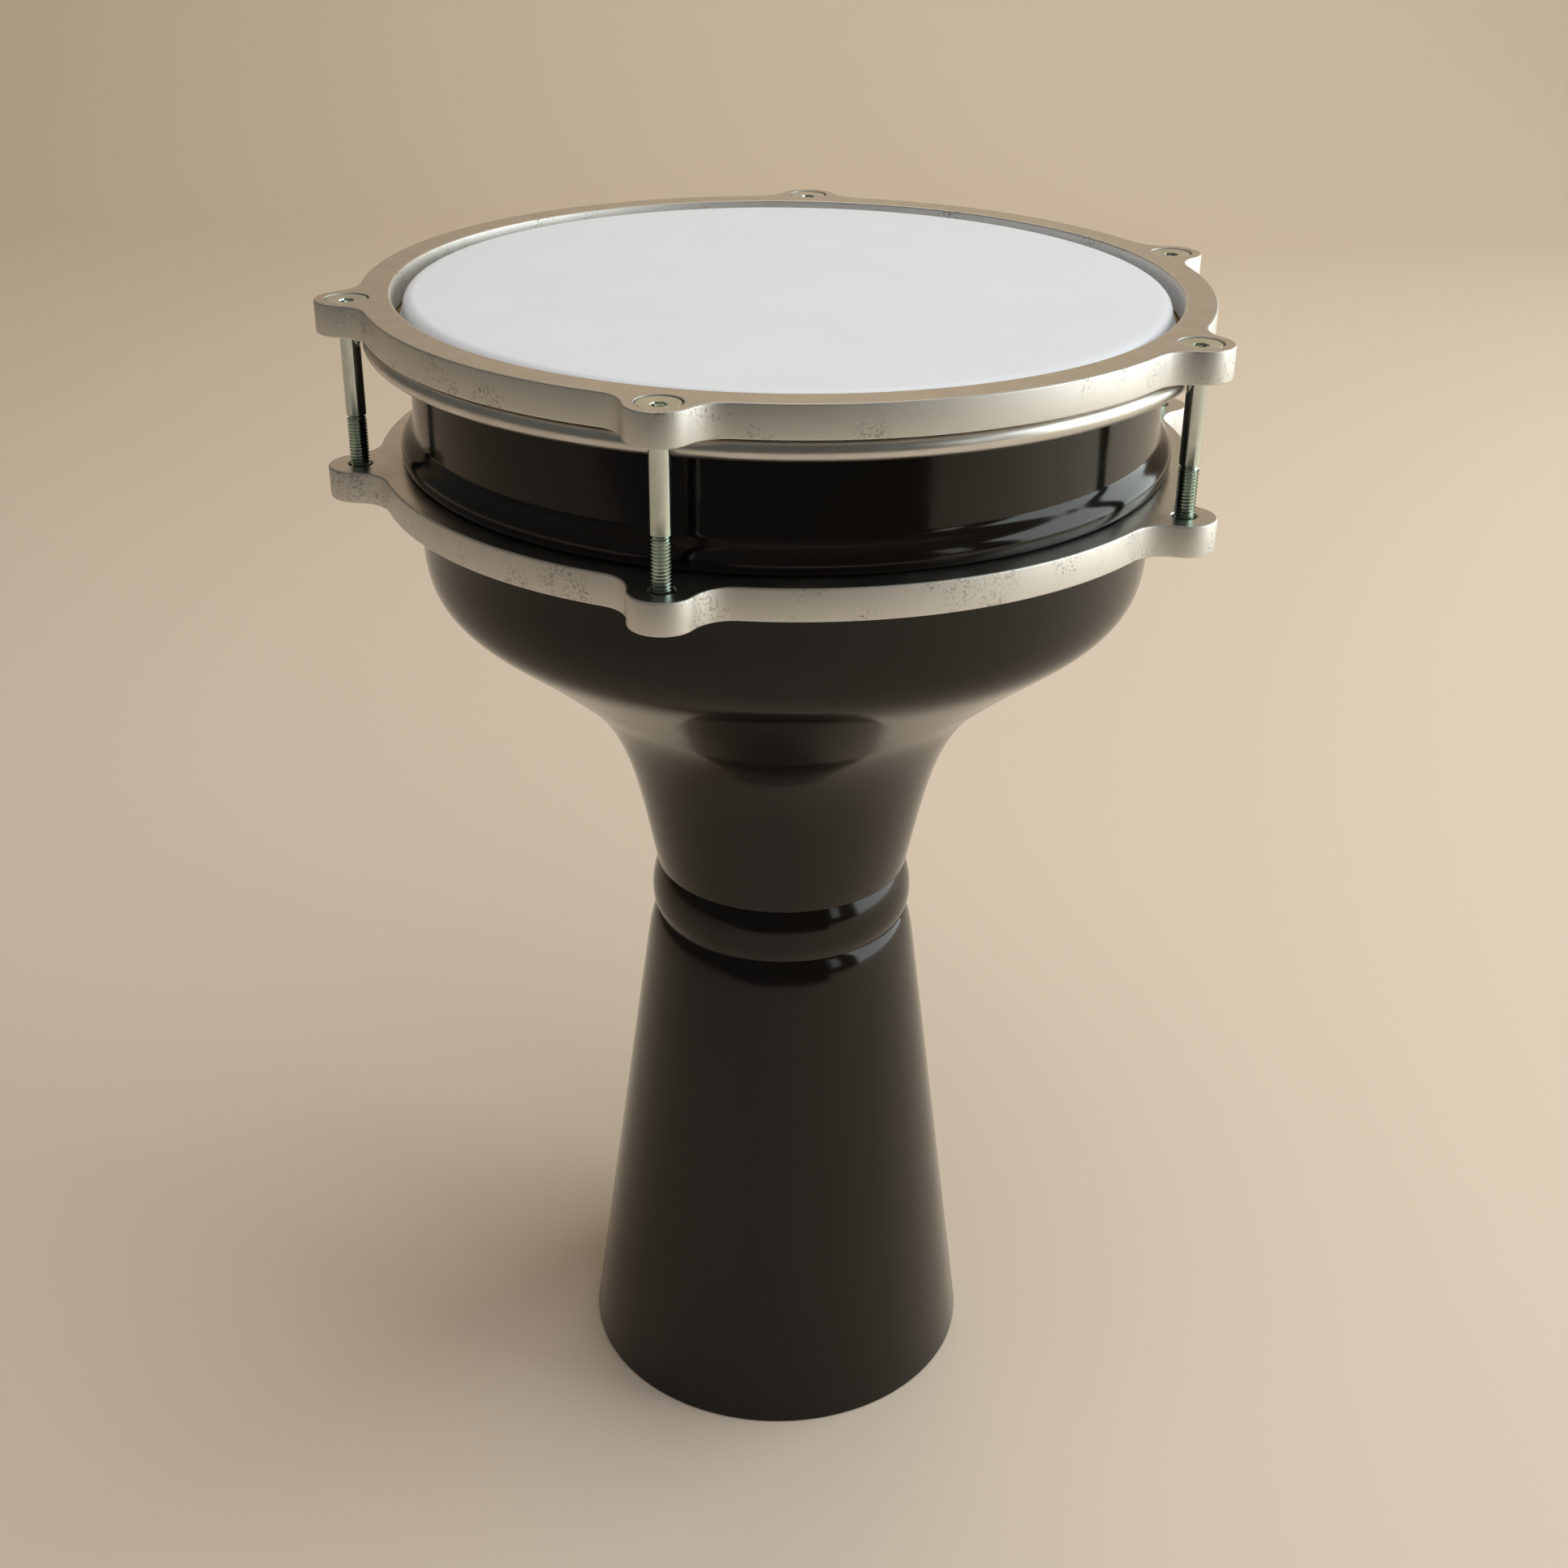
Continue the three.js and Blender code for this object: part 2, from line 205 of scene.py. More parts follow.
# Aluminium, sand cast and tumbled: a warm grey satin wall with patches of fine pits.
def makeCastAluminium():
    look = {"clean": "#e2e0dc", "pitted": "#aeaaa3", "grain": 0.9, "patch": 16, "satin": (0.44, 0.56)}
    material, tree, shader, place = startMaterial("satinCastAluminium", Metallic=1)
    patch = addNode(tree, "ShaderNodeTexNoise", {"Vector": place, "Scale": perMm(look["patch"]), "Detail": 2})
    where = addNode(tree, "ShaderNodeMapRange", {
        "Value": patch.outputs["Fac"], "From Min": 0.52, "From Max": 0.64})
    grain = addNode(tree, "ShaderNodeTexNoise", {"Vector": place, "Scale": perMm(look["grain"]), "Detail": 4})
    pits = addNode(tree, "ShaderNodeMapRange", {
        "Value": grain.outputs["Fac"], "From Min": 0.5, "From Max": 0.68})
    mask = addNode(tree, "ShaderNodeMath", {0: where.outputs["Result"], 1: pits.outputs["Result"]},
                   operation="MULTIPLY")
    tint = addNode(tree, "ShaderNodeMix", {"Factor": mask.outputs["Value"]}, data_type="RGBA")
    tint.inputs["A"].default_value = colour(look["clean"])
    tint.inputs["B"].default_value = colour(look["pitted"])
    tree.links.new(tint.outputs["Result"], shader.inputs["Base Color"])
    satin = addNode(tree, "ShaderNodeMapRange", {
        "Value": grain.outputs["Fac"], "From Min": 0.3, "From Max": 0.7,
        "To Min": look["satin"][0], "To Max": look["satin"][1]})
    tree.links.new(satin.outputs["Result"], shader.inputs["Roughness"])
    dents = addNode(tree, "ShaderNodeBump", {
        "Height": grain.outputs["Fac"], "Strength": 0.18, "Distance": mm(0.08)})
    holes = addNode(tree, "ShaderNodeBump", {
        "Height": mask.outputs["Value"], "Strength": 0.3, "Distance": mm(0.12),
        "Normal": dents.outputs["Normal"]}, invert=True)
    tree.links.new(holes.outputs["Normal"], shader.inputs["Normal"])
    return material


def ringCoordinates(tree, place):
    # distance from the drum's axis and height, so that a pattern on them runs in rings round the drum
    split = addNode(tree, "ShaderNodeSeparateXYZ", {"Vector": place})
    flat = addNode(tree, "ShaderNodeCombineXYZ", {"X": split.outputs["X"], "Y": split.outputs["Y"]})
    reach = addNode(tree, "ShaderNodeVectorMath", {0: flat.outputs["Vector"]}, operation="LENGTH")
    return addNode(tree, "ShaderNodeCombineXYZ", {"X": reach.outputs["Value"], "Z": split.outputs["Z"]})


# Aluminium, face turned on a lathe and lightly blasted: flat satin with hardly visible rings.
def makeFacedAluminium():
    look = {"light": "#d2cfca", "dark": "#c3bfb9", "ring": 0.7, "haze": 9, "satin": (0.28, 0.38)}
    material, tree, shader, place = startMaterial("facedAluminium", Metallic=1)
    rings = addNode(tree, "ShaderNodeTexNoise", {
        "Vector": ringCoordinates(tree, place).outputs["Vector"], "Scale": perMm(look["ring"]), "Detail": 2})
    haze = addNode(tree, "ShaderNodeTexNoise", {"Vector": place, "Scale": perMm(look["haze"]), "Detail": 4})
    tint = addNode(tree, "ShaderNodeMix", {"Factor": haze.outputs["Fac"]}, data_type="RGBA")
    tint.inputs["A"].default_value = colour(look["light"])
    tint.inputs["B"].default_value = colour(look["dark"])
    tree.links.new(tint.outputs["Result"], shader.inputs["Base Color"])
    satin = addNode(tree, "ShaderNodeMapRange", {
        "Value": haze.outputs["Fac"], "From Min": 0.3, "From Max": 0.7,
        "To Min": look["satin"][0], "To Max": look["satin"][1]})
    tree.links.new(satin.outputs["Result"], shader.inputs["Roughness"])
    bump = addNode(tree, "ShaderNodeBump", {
        "Height": rings.outputs["Fac"], "Strength": 0.15, "Distance": mm(0.03)})
    tree.links.new(bump.outputs["Normal"], shader.inputs["Normal"])
    return material


# Aluminium, rolled and polished: bright, with fine drawing lines along the hoop.
def makePolishedAluminium():
    look = {"bright": "#dedcd8", "dull": "#c4c1bb", "line": 0.5, "haze": 12, "shine": (0.27, 0.38)}
    material, tree, shader, place = startMaterial("polishedRolledAluminium", Metallic=1)
    lines = addNode(tree, "ShaderNodeTexNoise", {
        "Vector": ringCoordinates(tree, place).outputs["Vector"], "Scale": perMm(look["line"]), "Detail": 3})
    haze = addNode(tree, "ShaderNodeTexNoise", {"Vector": place, "Scale": perMm(look["haze"]), "Detail": 4})
    tint = addNode(tree, "ShaderNodeMix", {"Factor": haze.outputs["Fac"]}, data_type="RGBA")
    tint.inputs["A"].default_value = colour(look["bright"])
    tint.inputs["B"].default_value = colour(look["dull"])
    tree.links.new(tint.outputs["Result"], shader.inputs["Base Color"])
    shine = addNode(tree, "ShaderNodeMapRange", {
        "Value": haze.outputs["Fac"], "From Min": 0.3, "From Max": 0.7,
        "To Min": look["shine"][0], "To Max": look["shine"][1]})
    tree.links.new(shine.outputs["Result"], shader.inputs["Roughness"])
    bump = addNode(tree, "ShaderNodeBump", {
        "Height": lines.outputs["Fac"], "Strength": 0.2, "Distance": mm(0.02)})
    tree.links.new(bump.outputs["Normal"], shader.inputs["Normal"])
    return material


# Steel, zinc plated and passivated: bright grey with a cool green cast and cloudy patches.
# The rolled thread gets a second copy that is darker and greener than the head and shank.
def makeZincPlate(name, bright, green):
    look = {"bright": bright, "green": green, "cloud": 3.5, "shine": (0.1, 0.2)}
    material, tree, shader, place = startMaterial(name, Metallic=1)
    cloud = addNode(tree, "ShaderNodeTexNoise", {"Vector": place, "Scale": perMm(look["cloud"]), "Detail": 5})
    tint = addNode(tree, "ShaderNodeMix", {"Factor": cloud.outputs["Fac"]}, data_type="RGBA")
    tint.inputs["A"].default_value = colour(look["bright"])
    tint.inputs["B"].default_value = colour(look["green"])
    tree.links.new(tint.outputs["Result"], shader.inputs["Base Color"])
    shine = addNode(tree, "ShaderNodeMapRange", {
        "Value": cloud.outputs["Fac"], "From Min": 0.3, "From Max": 0.7,
        "To Min": look["shine"][0], "To Max": look["shine"][1]})
    tree.links.new(shine.outputs["Result"], shader.inputs["Roughness"])
    bump = addNode(tree, "ShaderNodeBump", {
        "Height": cloud.outputs["Fac"], "Strength": 0.1, "Distance": mm(0.02)})
    tree.links.new(bump.outputs["Normal"], shader.inputs["Normal"])
    return material


# Steel, turned and oiled: darker and duller than the plated screws.
def makeTurnedSteel():
    look = {"light": "#8f8f8b", "dark": "#6f706d", "grain": 1.2, "dull": (0.35, 0.5)}
    material, tree, shader, place = startMaterial("turnedSteel", Metallic=1)
    grain = addNode(tree, "ShaderNodeTexNoise", {"Vector": place, "Scale": perMm(look["grain"]), "Detail": 4})
    tint = addNode(tree, "ShaderNodeMix", {"Factor": grain.outputs["Fac"]}, data_type="RGBA")
    tint.inputs["A"].default_value = colour(look["light"])
    tint.inputs["B"].default_value = colour(look["dark"])
    tree.links.new(tint.outputs["Result"], shader.inputs["Base Color"])
    dull = addNode(tree, "ShaderNodeMapRange", {
        "Value": grain.outputs["Fac"], "To Min": look["dull"][0], "To Max": look["dull"][1]})
    tree.links.new(dull.outputs["Result"], shader.inputs["Roughness"])
    return material


# Polyester film, moulded and coated white: even, matt white with a very fine tooth.
def makeCoatedFilm():
    look = {"white": "#e9ebed", "shade": "#e2e4e6", "tooth": 0.8, "cloud": 30, "matt": (0.36, 0.46)}
    material, tree, shader, place = startMaterial("coatedPolyesterFilm", Metallic=0, IOR=1.57)
    cloud = addNode(tree, "ShaderNodeTexNoise", {"Vector": place, "Scale": perMm(look["cloud"]), "Detail": 3})
    tint = addNode(tree, "ShaderNodeMix", {"Factor": cloud.outputs["Fac"]}, data_type="RGBA")
    tint.inputs["A"].default_value = colour(look["white"])
    tint.inputs["B"].default_value = colour(look["shade"])
    tree.links.new(tint.outputs["Result"], shader.inputs["Base Color"])
    tooth = addNode(tree, "ShaderNodeTexNoise", {"Vector": place, "Scale": perMm(look["tooth"]), "Detail": 3})
    matt = addNode(tree, "ShaderNodeMapRange", {
        "Value": tooth.outputs["Fac"], "From Min": 0.3, "From Max": 0.7,
        "To Min": look["matt"][0], "To Max": look["matt"][1]})
    tree.links.new(matt.outputs["Result"], shader.inputs["Roughness"])
    bump = addNode(tree, "ShaderNodeBump", {
        "Height": tooth.outputs["Fac"], "Strength": 0.08, "Distance": mm(0.03)})
    tree.links.new(bump.outputs["Normal"], shader.inputs["Normal"])
    return material


# Epoxy, poured and cured: amber, with small lighter streaks where it set.
def makeCastResin():
    look = {"amber": "#8d7443", "streak": "#a68f5d", "swirl": 6}
    material, tree, shader, place = startMaterial("castEpoxy", Metallic=0, IOR=1.54, Roughness=0.32)
    swirl = addNode(tree, "ShaderNodeTexNoise", {
        "Vector": place, "Scale": perMm(look["swirl"]), "Detail": 4, "Distortion": 1.5})
    tint = addNode(tree, "ShaderNodeMix", {"Factor": swirl.outputs["Fac"]}, data_type="RGBA")
    tint.inputs["A"].default_value = colour(look["amber"])
    tint.inputs["B"].default_value = colour(look["streak"])
    tree.links.new(tint.outputs["Result"], shader.inputs["Base Color"])
    return material


glossBlackCoat = makeGlossBlackCoat()
castAluminium = makeCastAluminium()
facedAluminium = makeFacedAluminium()
polishedAluminium = makePolishedAluminium()
zincPlate = makeZincPlate("zincPlatedSteel", "#dadeda", "#bccabf")
zincThread = makeZincPlate("zincPlatedThread", "#bfcdc5", "#9db2a7")
turnedSteel = makeTurnedSteel()
coatedFilm = makeCoatedFilm()
castResin = makeCastResin()
print("materials ready")

# places read from the frame, in millimetres

footLow, footHigh = inMm("foot_shell")
collarLow, collarHigh = inMm("neck_collar")
bowlLow, bowlHigh = inMm("bowl_shell")
ringLow, ringHigh = inMm("lower_ring")
hoopLow, hoopHigh = inMm("top_hoop")
fleshLow, fleshHigh = inMm("flesh_hoop")
resinLow, resinHigh = inMm("flesh_resin")
filmLow, filmHigh = inMm("head_film")
screwBoxes = [inMm(f"tension_screw_{i}") for i in range(1, 6)]
insertBoxes = [inMm(f"thread_insert_{i}") for i in range(1, 6)]
lugPlaces = [((low[0] + high[0]) / 2, (low[1] + high[1]) / 2) for low, high in screwBoxes]

turnSteps = 192

# the foot: an open cone with a spigot on top that the collar and the bowl sit round

foot = {"rimWidth": 6.4, "rimEdge": 1.0, "shoulderRadius": 47, "shoulderZ": 165.6, "creaseRadius": 42.9,
        "creaseZ": 179.8, "spigotRadius": 41, "boreRadius": 37.2, "throatRadius": 41.9, "throatZ": 163,
        "wall": 5.5, "spigotEdge": 0.8}


def makeFoot():
    f = foot
    baseRadius = footHigh[0]
    shoulder = curvePoints(
        (f["shoulderRadius"], f["shoulderZ"]), (f["shoulderRadius"] - 0.96, f["shoulderZ"] + 7),
        (f["creaseRadius"] + 2, f["creaseZ"] - 2.2), (f["creaseRadius"], f["creaseZ"]), 16)
    outline = roundedOutline([
        (baseRadius - f["rimWidth"], 0, 0.5),
        (baseRadius, 0, f["rimEdge"]),
        *sharp(shoulder),
        (f["spigotRadius"], f["creaseZ"], 0.4),
        (f["spigotRadius"], footHigh[2], f["spigotEdge"]),
        (f["boreRadius"], footHigh[2], f["spigotEdge"]),
        (f["boreRadius"], f["creaseZ"] - f["wall"], 3),
        (f["throatRadius"], f["throatZ"], 3),
    ])
    return show(finishPiece("footShell", turnedMesh(outline, turnSteps)),
                "shell", "black_coat", [glossBlackCoat], "foot_shell")


# the neck collar: widest below its middle, rolling inwards under the bowl's lip

collar = {"bottomRadius": 43.6, "widestRadius": 45, "widestHeight": 6.8, "topRadius": 42.3,
          "boreRadius": 41.3}


def makeCollar():
    c = collar
    low, high = collarLow[2], collarHigh[2]
    widestZ = low + c["widestHeight"]
    lower = curvePoints((c["bottomRadius"], low), (c["bottomRadius"] + 0.8, low + 2.4),
                        (c["widestRadius"], widestZ - 3.3), (c["widestRadius"], widestZ), 12)
    upper = curvePoints((c["widestRadius"], widestZ), (c["widestRadius"], widestZ + 4),
                        (c["topRadius"] + 1.9, high - 3.7), (c["topRadius"], high), 16)
    outline = roundedOutline([
        (c["boreRadius"], low, 0.3), *sharp(lower + upper[1:]), (c["boreRadius"], high, 0.3)])
    return show(finishPiece("neckCollar", turnedMesh(outline, turnSteps)),
                "shell", "black_coat", [glossBlackCoat], "neck_collar")


# the bowl: flares from the neck, turns up into a band with a ridge, and ends in a rounded bearing edge

bowl = {"neckRadius": 43.2, "neckLean": 0.205, "neckHandle": 30.5, "bendRadius": 71.8, "bendZ": 269.7,
        "bendSlope": 42.6, "lowerHandle": 26.5, "upperHandle": 50.4, "wallRadius": 115.5, "wallZ": 323.8,
        "wallHandle": 26.7, "bandRadius": 115.9, "wall": 4.5, "edgeRound": 3.5, "socketRadius": 41.3,
        "ridgeToe": 1.4, "ridgeCrown": 3.4, "ridgeSwell": 3.6, "ridgeFade": 2.4, "ridgeHeight": 10.4}


def makeBowl():
    b = bowl
    seatZ = ringHigh[2] + 0.3
    ridge, band, topZ = bowlHigh[0], b["bandRadius"], bowlHigh[2]
    inner = band - b["wall"]
    slope = math.radians(b["bendSlope"])
    along = Vector((math.cos(slope), math.sin(slope)))
    outerBend = Vector((b["bendRadius"], b["bendZ"]))
    innerBend = outerBend + Vector((-along.y, along.x)) * b["wall"]
    neckZ, socketZ = bowlLow[2], footHigh[2] + 1

    def bendSide(bend, length):
        return tuple(bend + along * length)

    flare = curvePoints((b["neckRadius"], neckZ),
                        (b["neckRadius"] + b["neckHandle"] * b["neckLean"], neckZ + b["neckHandle"]),
                        bendSide(outerBend, -b["lowerHandle"]), tuple(outerBend), 26)
    belly = curvePoints(tuple(outerBend), bendSide(outerBend, b["upperHandle"]),
                        (b["wallRadius"], b["wallZ"] - b["wallHandle"]), (b["wallRadius"], b["wallZ"]), 30)
    crownZ, fadeZ = seatZ + b["ridgeCrown"], seatZ + b["ridgeHeight"]
    underRidge = curvePoints((ridge - b["ridgeToe"], seatZ), (ridge - b["ridgeToe"] / 3, seatZ),
                             (ridge, crownZ - b["ridgeCrown"] * 2 / 3), (ridge, crownZ), 8)
    overRidge = curvePoints((ridge, crownZ), (ridge, crownZ + b["ridgeSwell"]),
                            (band, fadeZ - b["ridgeFade"]), (band, fadeZ), 18)
    edge = curvePoints((band, topZ - b["edgeRound"]), (band, topZ - b["edgeRound"] / 3),
                       (band - b["edgeRound"] / 3, topZ), (band - b["edgeRound"], topZ), 8)
    innerBelly = curvePoints((inner, b["wallZ"]), (inner, b["wallZ"] - b["wallHandle"]),
                             bendSide(innerBend, b["upperHandle"] - b["wall"]), tuple(innerBend), 24)
    innerFlare = curvePoints(tuple(innerBend), bendSide(innerBend, -b["lowerHandle"]),
                             (b["socketRadius"] + b["wall"], socketZ + b["neckHandle"] / 2),
                             (b["socketRadius"], socketZ), 20)
    outline = roundedOutline([
        (b["neckRadius"], neckZ, 0.6),
        *sharp(flare[2:]),
        *sharp(belly[1:]),
        (band, seatZ, 0.3),
        *sharp(underRidge + overRidge[1:] + edge),
        (inner, topZ - 1.5, 0.8),
        *sharp(innerBelly + innerFlare[1:]),
        (b["socketRadius"], neckZ, 0.3),
    ])
    return show(finishPiece("bowlShell", turnedMesh(outline, turnSteps)),
                "shell", "black_coat", [glossBlackCoat], "bowl_shell")


# the two eared rings: round corners, soft edges and one hole for each screw

ears = {"radius": 9.6, "fillet": 12, "edge": 0.55, "ringSteps": 40, "earSteps": 18, "filletSteps": 10,
        "holeSteps": 40, "innerSteps": 200}
topHoop = {"outer": 129.5, "inner": 120}
lowerRing = {"outer": 127, "inner": 117.3}


def earedPoints(ringRadius, inset):
    # the ring's outline, drawn in by inset with every arc kept round
    ring, ear, fillet = ringRadius - inset, ears["radius"] - inset, ears["fillet"] + inset
    points = []
    turns = []
    for x, y in lugPlaces:
        reach, span, out = ring + fillet, ear + fillet, math.hypot(x, y)
        turn = math.atan2(y, x)
        swing = math.acos((reach ** 2 + out ** 2 - span ** 2) / (2 * reach * out))
        lean = math.acos((span ** 2 + out ** 2 - reach ** 2) / (2 * span * out))
        turns.append((turn, swing, math.pi - lean, (x, y)))

    def arc(centre, radius, start, end, steps):
        for i in range(steps):
            angle = start + (end - start) * i / steps
            points.append((centre[0] + radius * math.cos(angle), centre[1] + radius * math.sin(angle)))

    for i, (turn, swing, half, centre) in enumerate(turns):
        before, after = [(
            (ring + fillet) * math.cos(turn + side * swing),
            (ring + fillet) * math.sin(turn + side * swing)) for side in (-1, 1)]
        arc(before, fillet, turn + math.pi - swing, turn + math.pi - half, ears["filletSteps"])
        arc(centre, ear, turn - half, turn + half, ears["earSteps"])
        arc(after, fillet, turn + half - math.pi, turn + swing - math.pi, ears["filletSteps"])
        following = turns[(i + 1) % len(turns)]
        start = turn + swing
        sweep = (following[0] - following[1] - start) % (2 * math.pi)
        arc((0, 0), ring, start, start + sweep, ears["ringSteps"])
    return points


def softEdge(edge, steps=4):
    # (inset, drop) pairs that round an edge, from the side up to the flat face
    return [(edge * (1 - math.cos(a)), edge * (1 - math.sin(a)))
            for a in (math.pi / 2 * i / steps for i in range(steps + 1))]


def wallLoops(bm, makePoints, bottom, top, edge):
    loops = [addLoop(bm, makePoints(inset), bottom + drop) for inset, drop in reversed(softEdge(edge))]
    loops += [addLoop(bm, makePoints(inset), top - drop) for inset, drop in softEdge(edge)]
    joinLoops(bm, loops)
    return loops[0], loops[-1]


def makeEaredRing(name, outerRadius, innerRadius, bottom, top, holeSections, node, body):
    bm = bmesh.new()
    edge = ears["edge"]
    outerBottom, outerTop = wallLoops(bm, lambda inset: earedPoints(outerRadius, inset), bottom, top, edge)
    innerBottom, innerTop = wallLoops(
        bm, lambda inset: circlePoints((0, 0), innerRadius + inset, ears["innerSteps"]), bottom, top, edge)
    bottomEdges, topEdges = outerBottom + innerBottom, outerTop + innerTop
    for place in lugPlaces:
        loops = [addLoop(bm, circlePoints(place, radius, ears["holeSteps"]), z) for radius, z in holeSections]
        joinLoops(bm, loops)
        bottomEdges += loops[0]
        topEdges += loops[-1]
    bmesh.ops.triangle_fill(bm, edges=bottomEdges, use_beauty=True)
    bmesh.ops.triangle_fill(bm, edges=topEdges, use_beauty=True)
    bmesh.ops.recalc_face_normals(bm, faces=bm.faces)
    for face in bm.faces:
        face.material_index = 1 if abs(face.normal.z) > 0.999 else 0
    piece = finishPiece(name, bm)
    # the turned faces are flat right up to the rounded edges, and are shaded so
    for polygon in piece.data.polygons:
        polygon.use_smooth = polygon.material_index == 0
    return show(piece, body, "cast_ring", [castAluminium, facedAluminium], node)


screw = {"headRadius": 6.1, "headLand": 0.6, "sinkPlay": 0.4, "shankRadius": 3, "coreRadius": 2.45,
         "crestRadius": 2.96, "pitch": 1.0, "threadWide": 0.9, "threadFlat": 0.26, "threadTop": 362,
         "socketFlats": 4, "socketDepth": 2.6, "drillDepth": 0.9, "dishRadius": 4.7, "dishFloor": 2.75,
         "dishDepth": 0.4, "roundSteps": 40, "threadSteps": 28}
insert = {"outer": 4.6, "inner": 3.15, "play": 0.3, "mouth": 3.6, "chamfer": 0.5, "edge": 0.3, "steps": 40}


def makeTopHoop():
    headTop = screwBoxes[0][1][2]
    sink = screw["headRadius"] + screw["sinkPlay"]
    bore = screw["shankRadius"] + screw["sinkPlay"]
    landZ = headTop - screw["headLand"]
    holeSections = [(bore + 0.3, hoopLow[2]), (bore, hoopLow[2] + 0.3), (bore, landZ - (sink - bore)),
                    (sink, landZ), (sink, hoopHigh[2] - 0.15), (sink + 0.15, hoopHigh[2])]
    return makeEaredRing("topHoop", topHoop["outer"], topHoop["inner"], hoopLow[2], hoopHigh[2],
                         holeSections, "top_hoop", "hoop")


def makeLowerRing():
    bore = insert["outer"] + insert["play"]
    seatZ = insertBoxes[0][1][2] + insert["play"]
    mouth = insert["mouth"]
    holeSections = [(bore + 0.2, ringLow[2]), (bore, ringLow[2] + 0.2), (bore, seatZ), (mouth, seatZ),
                    (mouth, ringHigh[2] - 0.4), (mouth + 0.4, ringHigh[2])]
    return makeEaredRing("lowerRing", lowerRing["outer"], lowerRing["inner"], ringLow[2], ringHigh[2],
                         holeSections, "lower_ring", "shell")


# the flesh hoop: a half-round channel with the film's skirt cast into it

flesh = {"inner": 116.5, "lip": 0.8, "floor": 1.2, "grooveOuter": 124, "resinPlay": 0.3, "roundSteps": 24}


def makeFleshHoop():
    f = flesh
    low, high, outer = fleshLow[2], fleshHigh[2], fleshHigh[0]
    half = (high - low) / 2
    steps = f["roundSteps"]
    roundSide = [(outer - half + half * math.cos(a), low + half + half * math.sin(a))
                 for a in (math.pi * (i / steps - 0.5) for i in range(steps + 1))]
    outline = roundedOutline([
        (f["inner"], low, 0.3),
        *sharp(roundSide),
        (f["grooveOuter"], high, 0.25),
        (f["grooveOuter"], low + f["floor"], 0.2),
        (f["inner"] + f["lip"], low + f["floor"], 0.2),
        (f["inner"] + f["lip"], high, 0.2),
        (f["inner"], high, 0.2),
    ])
    return show(finishPiece("fleshHoop", turnedMesh(outline, turnSteps)),
                "hoop", "polished_ring", [polishedAluminium], "flesh_hoop")


def makeFleshResin():
    inner = flesh["inner"] + flesh["lip"] + flesh["resinPlay"]
    outer = flesh["grooveOuter"] - flesh["resinPlay"]
    low, high = resinLow[2], resinHigh[2]
    slotInner, slotOuter, slotZ = filmHigh[0] - 0.8, filmHigh[0] + 0.3, low + 0.8
    outline = roundedOutline([
        (inner, low, 0.2), (outer, low, 0.2), (outer, high, 0.4), (slotOuter, high, 0.2),
        (slotOuter, slotZ, 0.1), (slotInner, slotZ, 0.1), (slotInner, high, 0.1), (inner, high, 0.1),
    ])
    return show(finishPiece("fleshResin", turnedMesh(outline, turnSteps)),
                "hoop", "resin", [castResin], "flesh_resin")


# the film: flat across the bearing edge, rolled over its shoulder, and drawn down into the flesh hoop

film = {"thickness": 0.25, "radius": 116.7, "shoulder": 3.9, "skirtRows": 8, "flatRows": 8,
        "cutDisc": 252, "cutArea": 0.0497}  # the disc it was cut from, in mm, and its area in square metres


def makeFilm():
    f = film
    top, low, skirt = filmHigh[2], filmLow[2], filmHigh[0]
    shoulderZ = top - f["shoulder"]

    def side(shrink):
        roll = curvePoints((f["radius"] - f["shoulder"], top - shrink),
                           (f["radius"] - f["shoulder"] / 3, top - shrink),
                           (f["radius"] - shrink, top - f["shoulder"] / 3),
                           (f["radius"] - shrink, shoulderZ), 12)
        drop = [(f["radius"] - shrink + (skirt - f["radius"]) * t, shoulderZ + (low - shoulderZ) * t)
                for t in (i / f["skirtRows"] for i in range(1, f["skirtRows"] + 1))]
        flatPart = [((f["radius"] - f["shoulder"]) * i / f["flatRows"], top - shrink)
                    for i in range(f["flatRows"])]
        return flatPart + roll + drop

    outline = side(f["thickness"]) + side(0)[::-1]
    piece = finishPiece("headFilm", turnedMesh(outline, turnSteps, closed=False), sharpAngle=60)
    piece.data.materials.append(coatedFilm)
    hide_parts("head_film")
    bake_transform(piece)
    return piece


# the tension screws: countersunk heads with hexagon sockets, plain shanks and rolled threads

def addThread(bm, bottom, top):
    s = screw
    steps, pitch = s["threadSteps"], s["pitch"]
    turns = int((top - bottom) / pitch)
    root = s["coreRadius"] - 0.1
    wide, flat = s["threadWide"] / 2, s["threadFlat"] / 2
    ridge = [(root, -wide), (s["crestRadius"], -flat), (s["crestRadius"], flat), (root, wide)]
    verts = [bm.verts.new((mm(r), 0, mm(bottom + 0.5 * pitch + z))) for r, z in ridge]
    face = bm.faces.new(verts)
    before = set(bm.verts) - set(verts)
    bmesh.ops.spin(bm, geom=verts + list(face.edges) + [face], cent=(0, 0, 0), axis=up,
                   angle=2 * math.pi * turns, steps=steps * turns, dvec=(0, 0, mm(pitch / steps)))
    added = [v for v in bm.verts if v not in before]
    fade = mm(pitch)
    for vert in added:
        reach = math.hypot(vert.co.x, vert.co.y)
        fromEnd = min(vert.co.z - mm(bottom), mm(top) - vert.co.z)
        share = max(0.0, min(1.0, fromEnd / fade))
        wanted = mm(root) + (reach - mm(root)) * share
        vert.co.x *= wanted / reach
        vert.co.y *= wanted / reach


